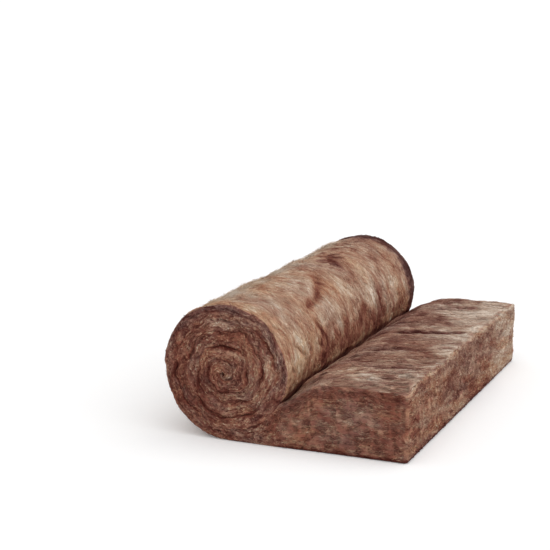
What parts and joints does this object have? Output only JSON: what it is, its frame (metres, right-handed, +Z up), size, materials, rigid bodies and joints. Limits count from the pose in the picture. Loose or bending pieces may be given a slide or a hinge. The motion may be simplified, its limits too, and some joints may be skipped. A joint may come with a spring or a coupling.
{
  "type": "glass wool insulation roll",
  "caption": "Partly unrolled roll of brown glass wool insulation blanket, with its spiral laps showing at both ends and a full-thickness tail on the floor.",
  "frame": {"origin": "on the floor, in the middle of the whole object's length and width", "axes": "+X from the roll towards the tail's cut end, +Y along the roll's axis away from the viewer, +Z up from the floor"},
  "size_m": [0.718, 1.2, 0.387],
  "materials": {
    "glass_wool": "uncoated brown glass wool: matt, fibrous, with lighter and darker streaks along the blanket's length"
  },
  "bodies": {
    "root": {"glass_wool_blanket": "glass_wool"}
  },
  "joints": []
}
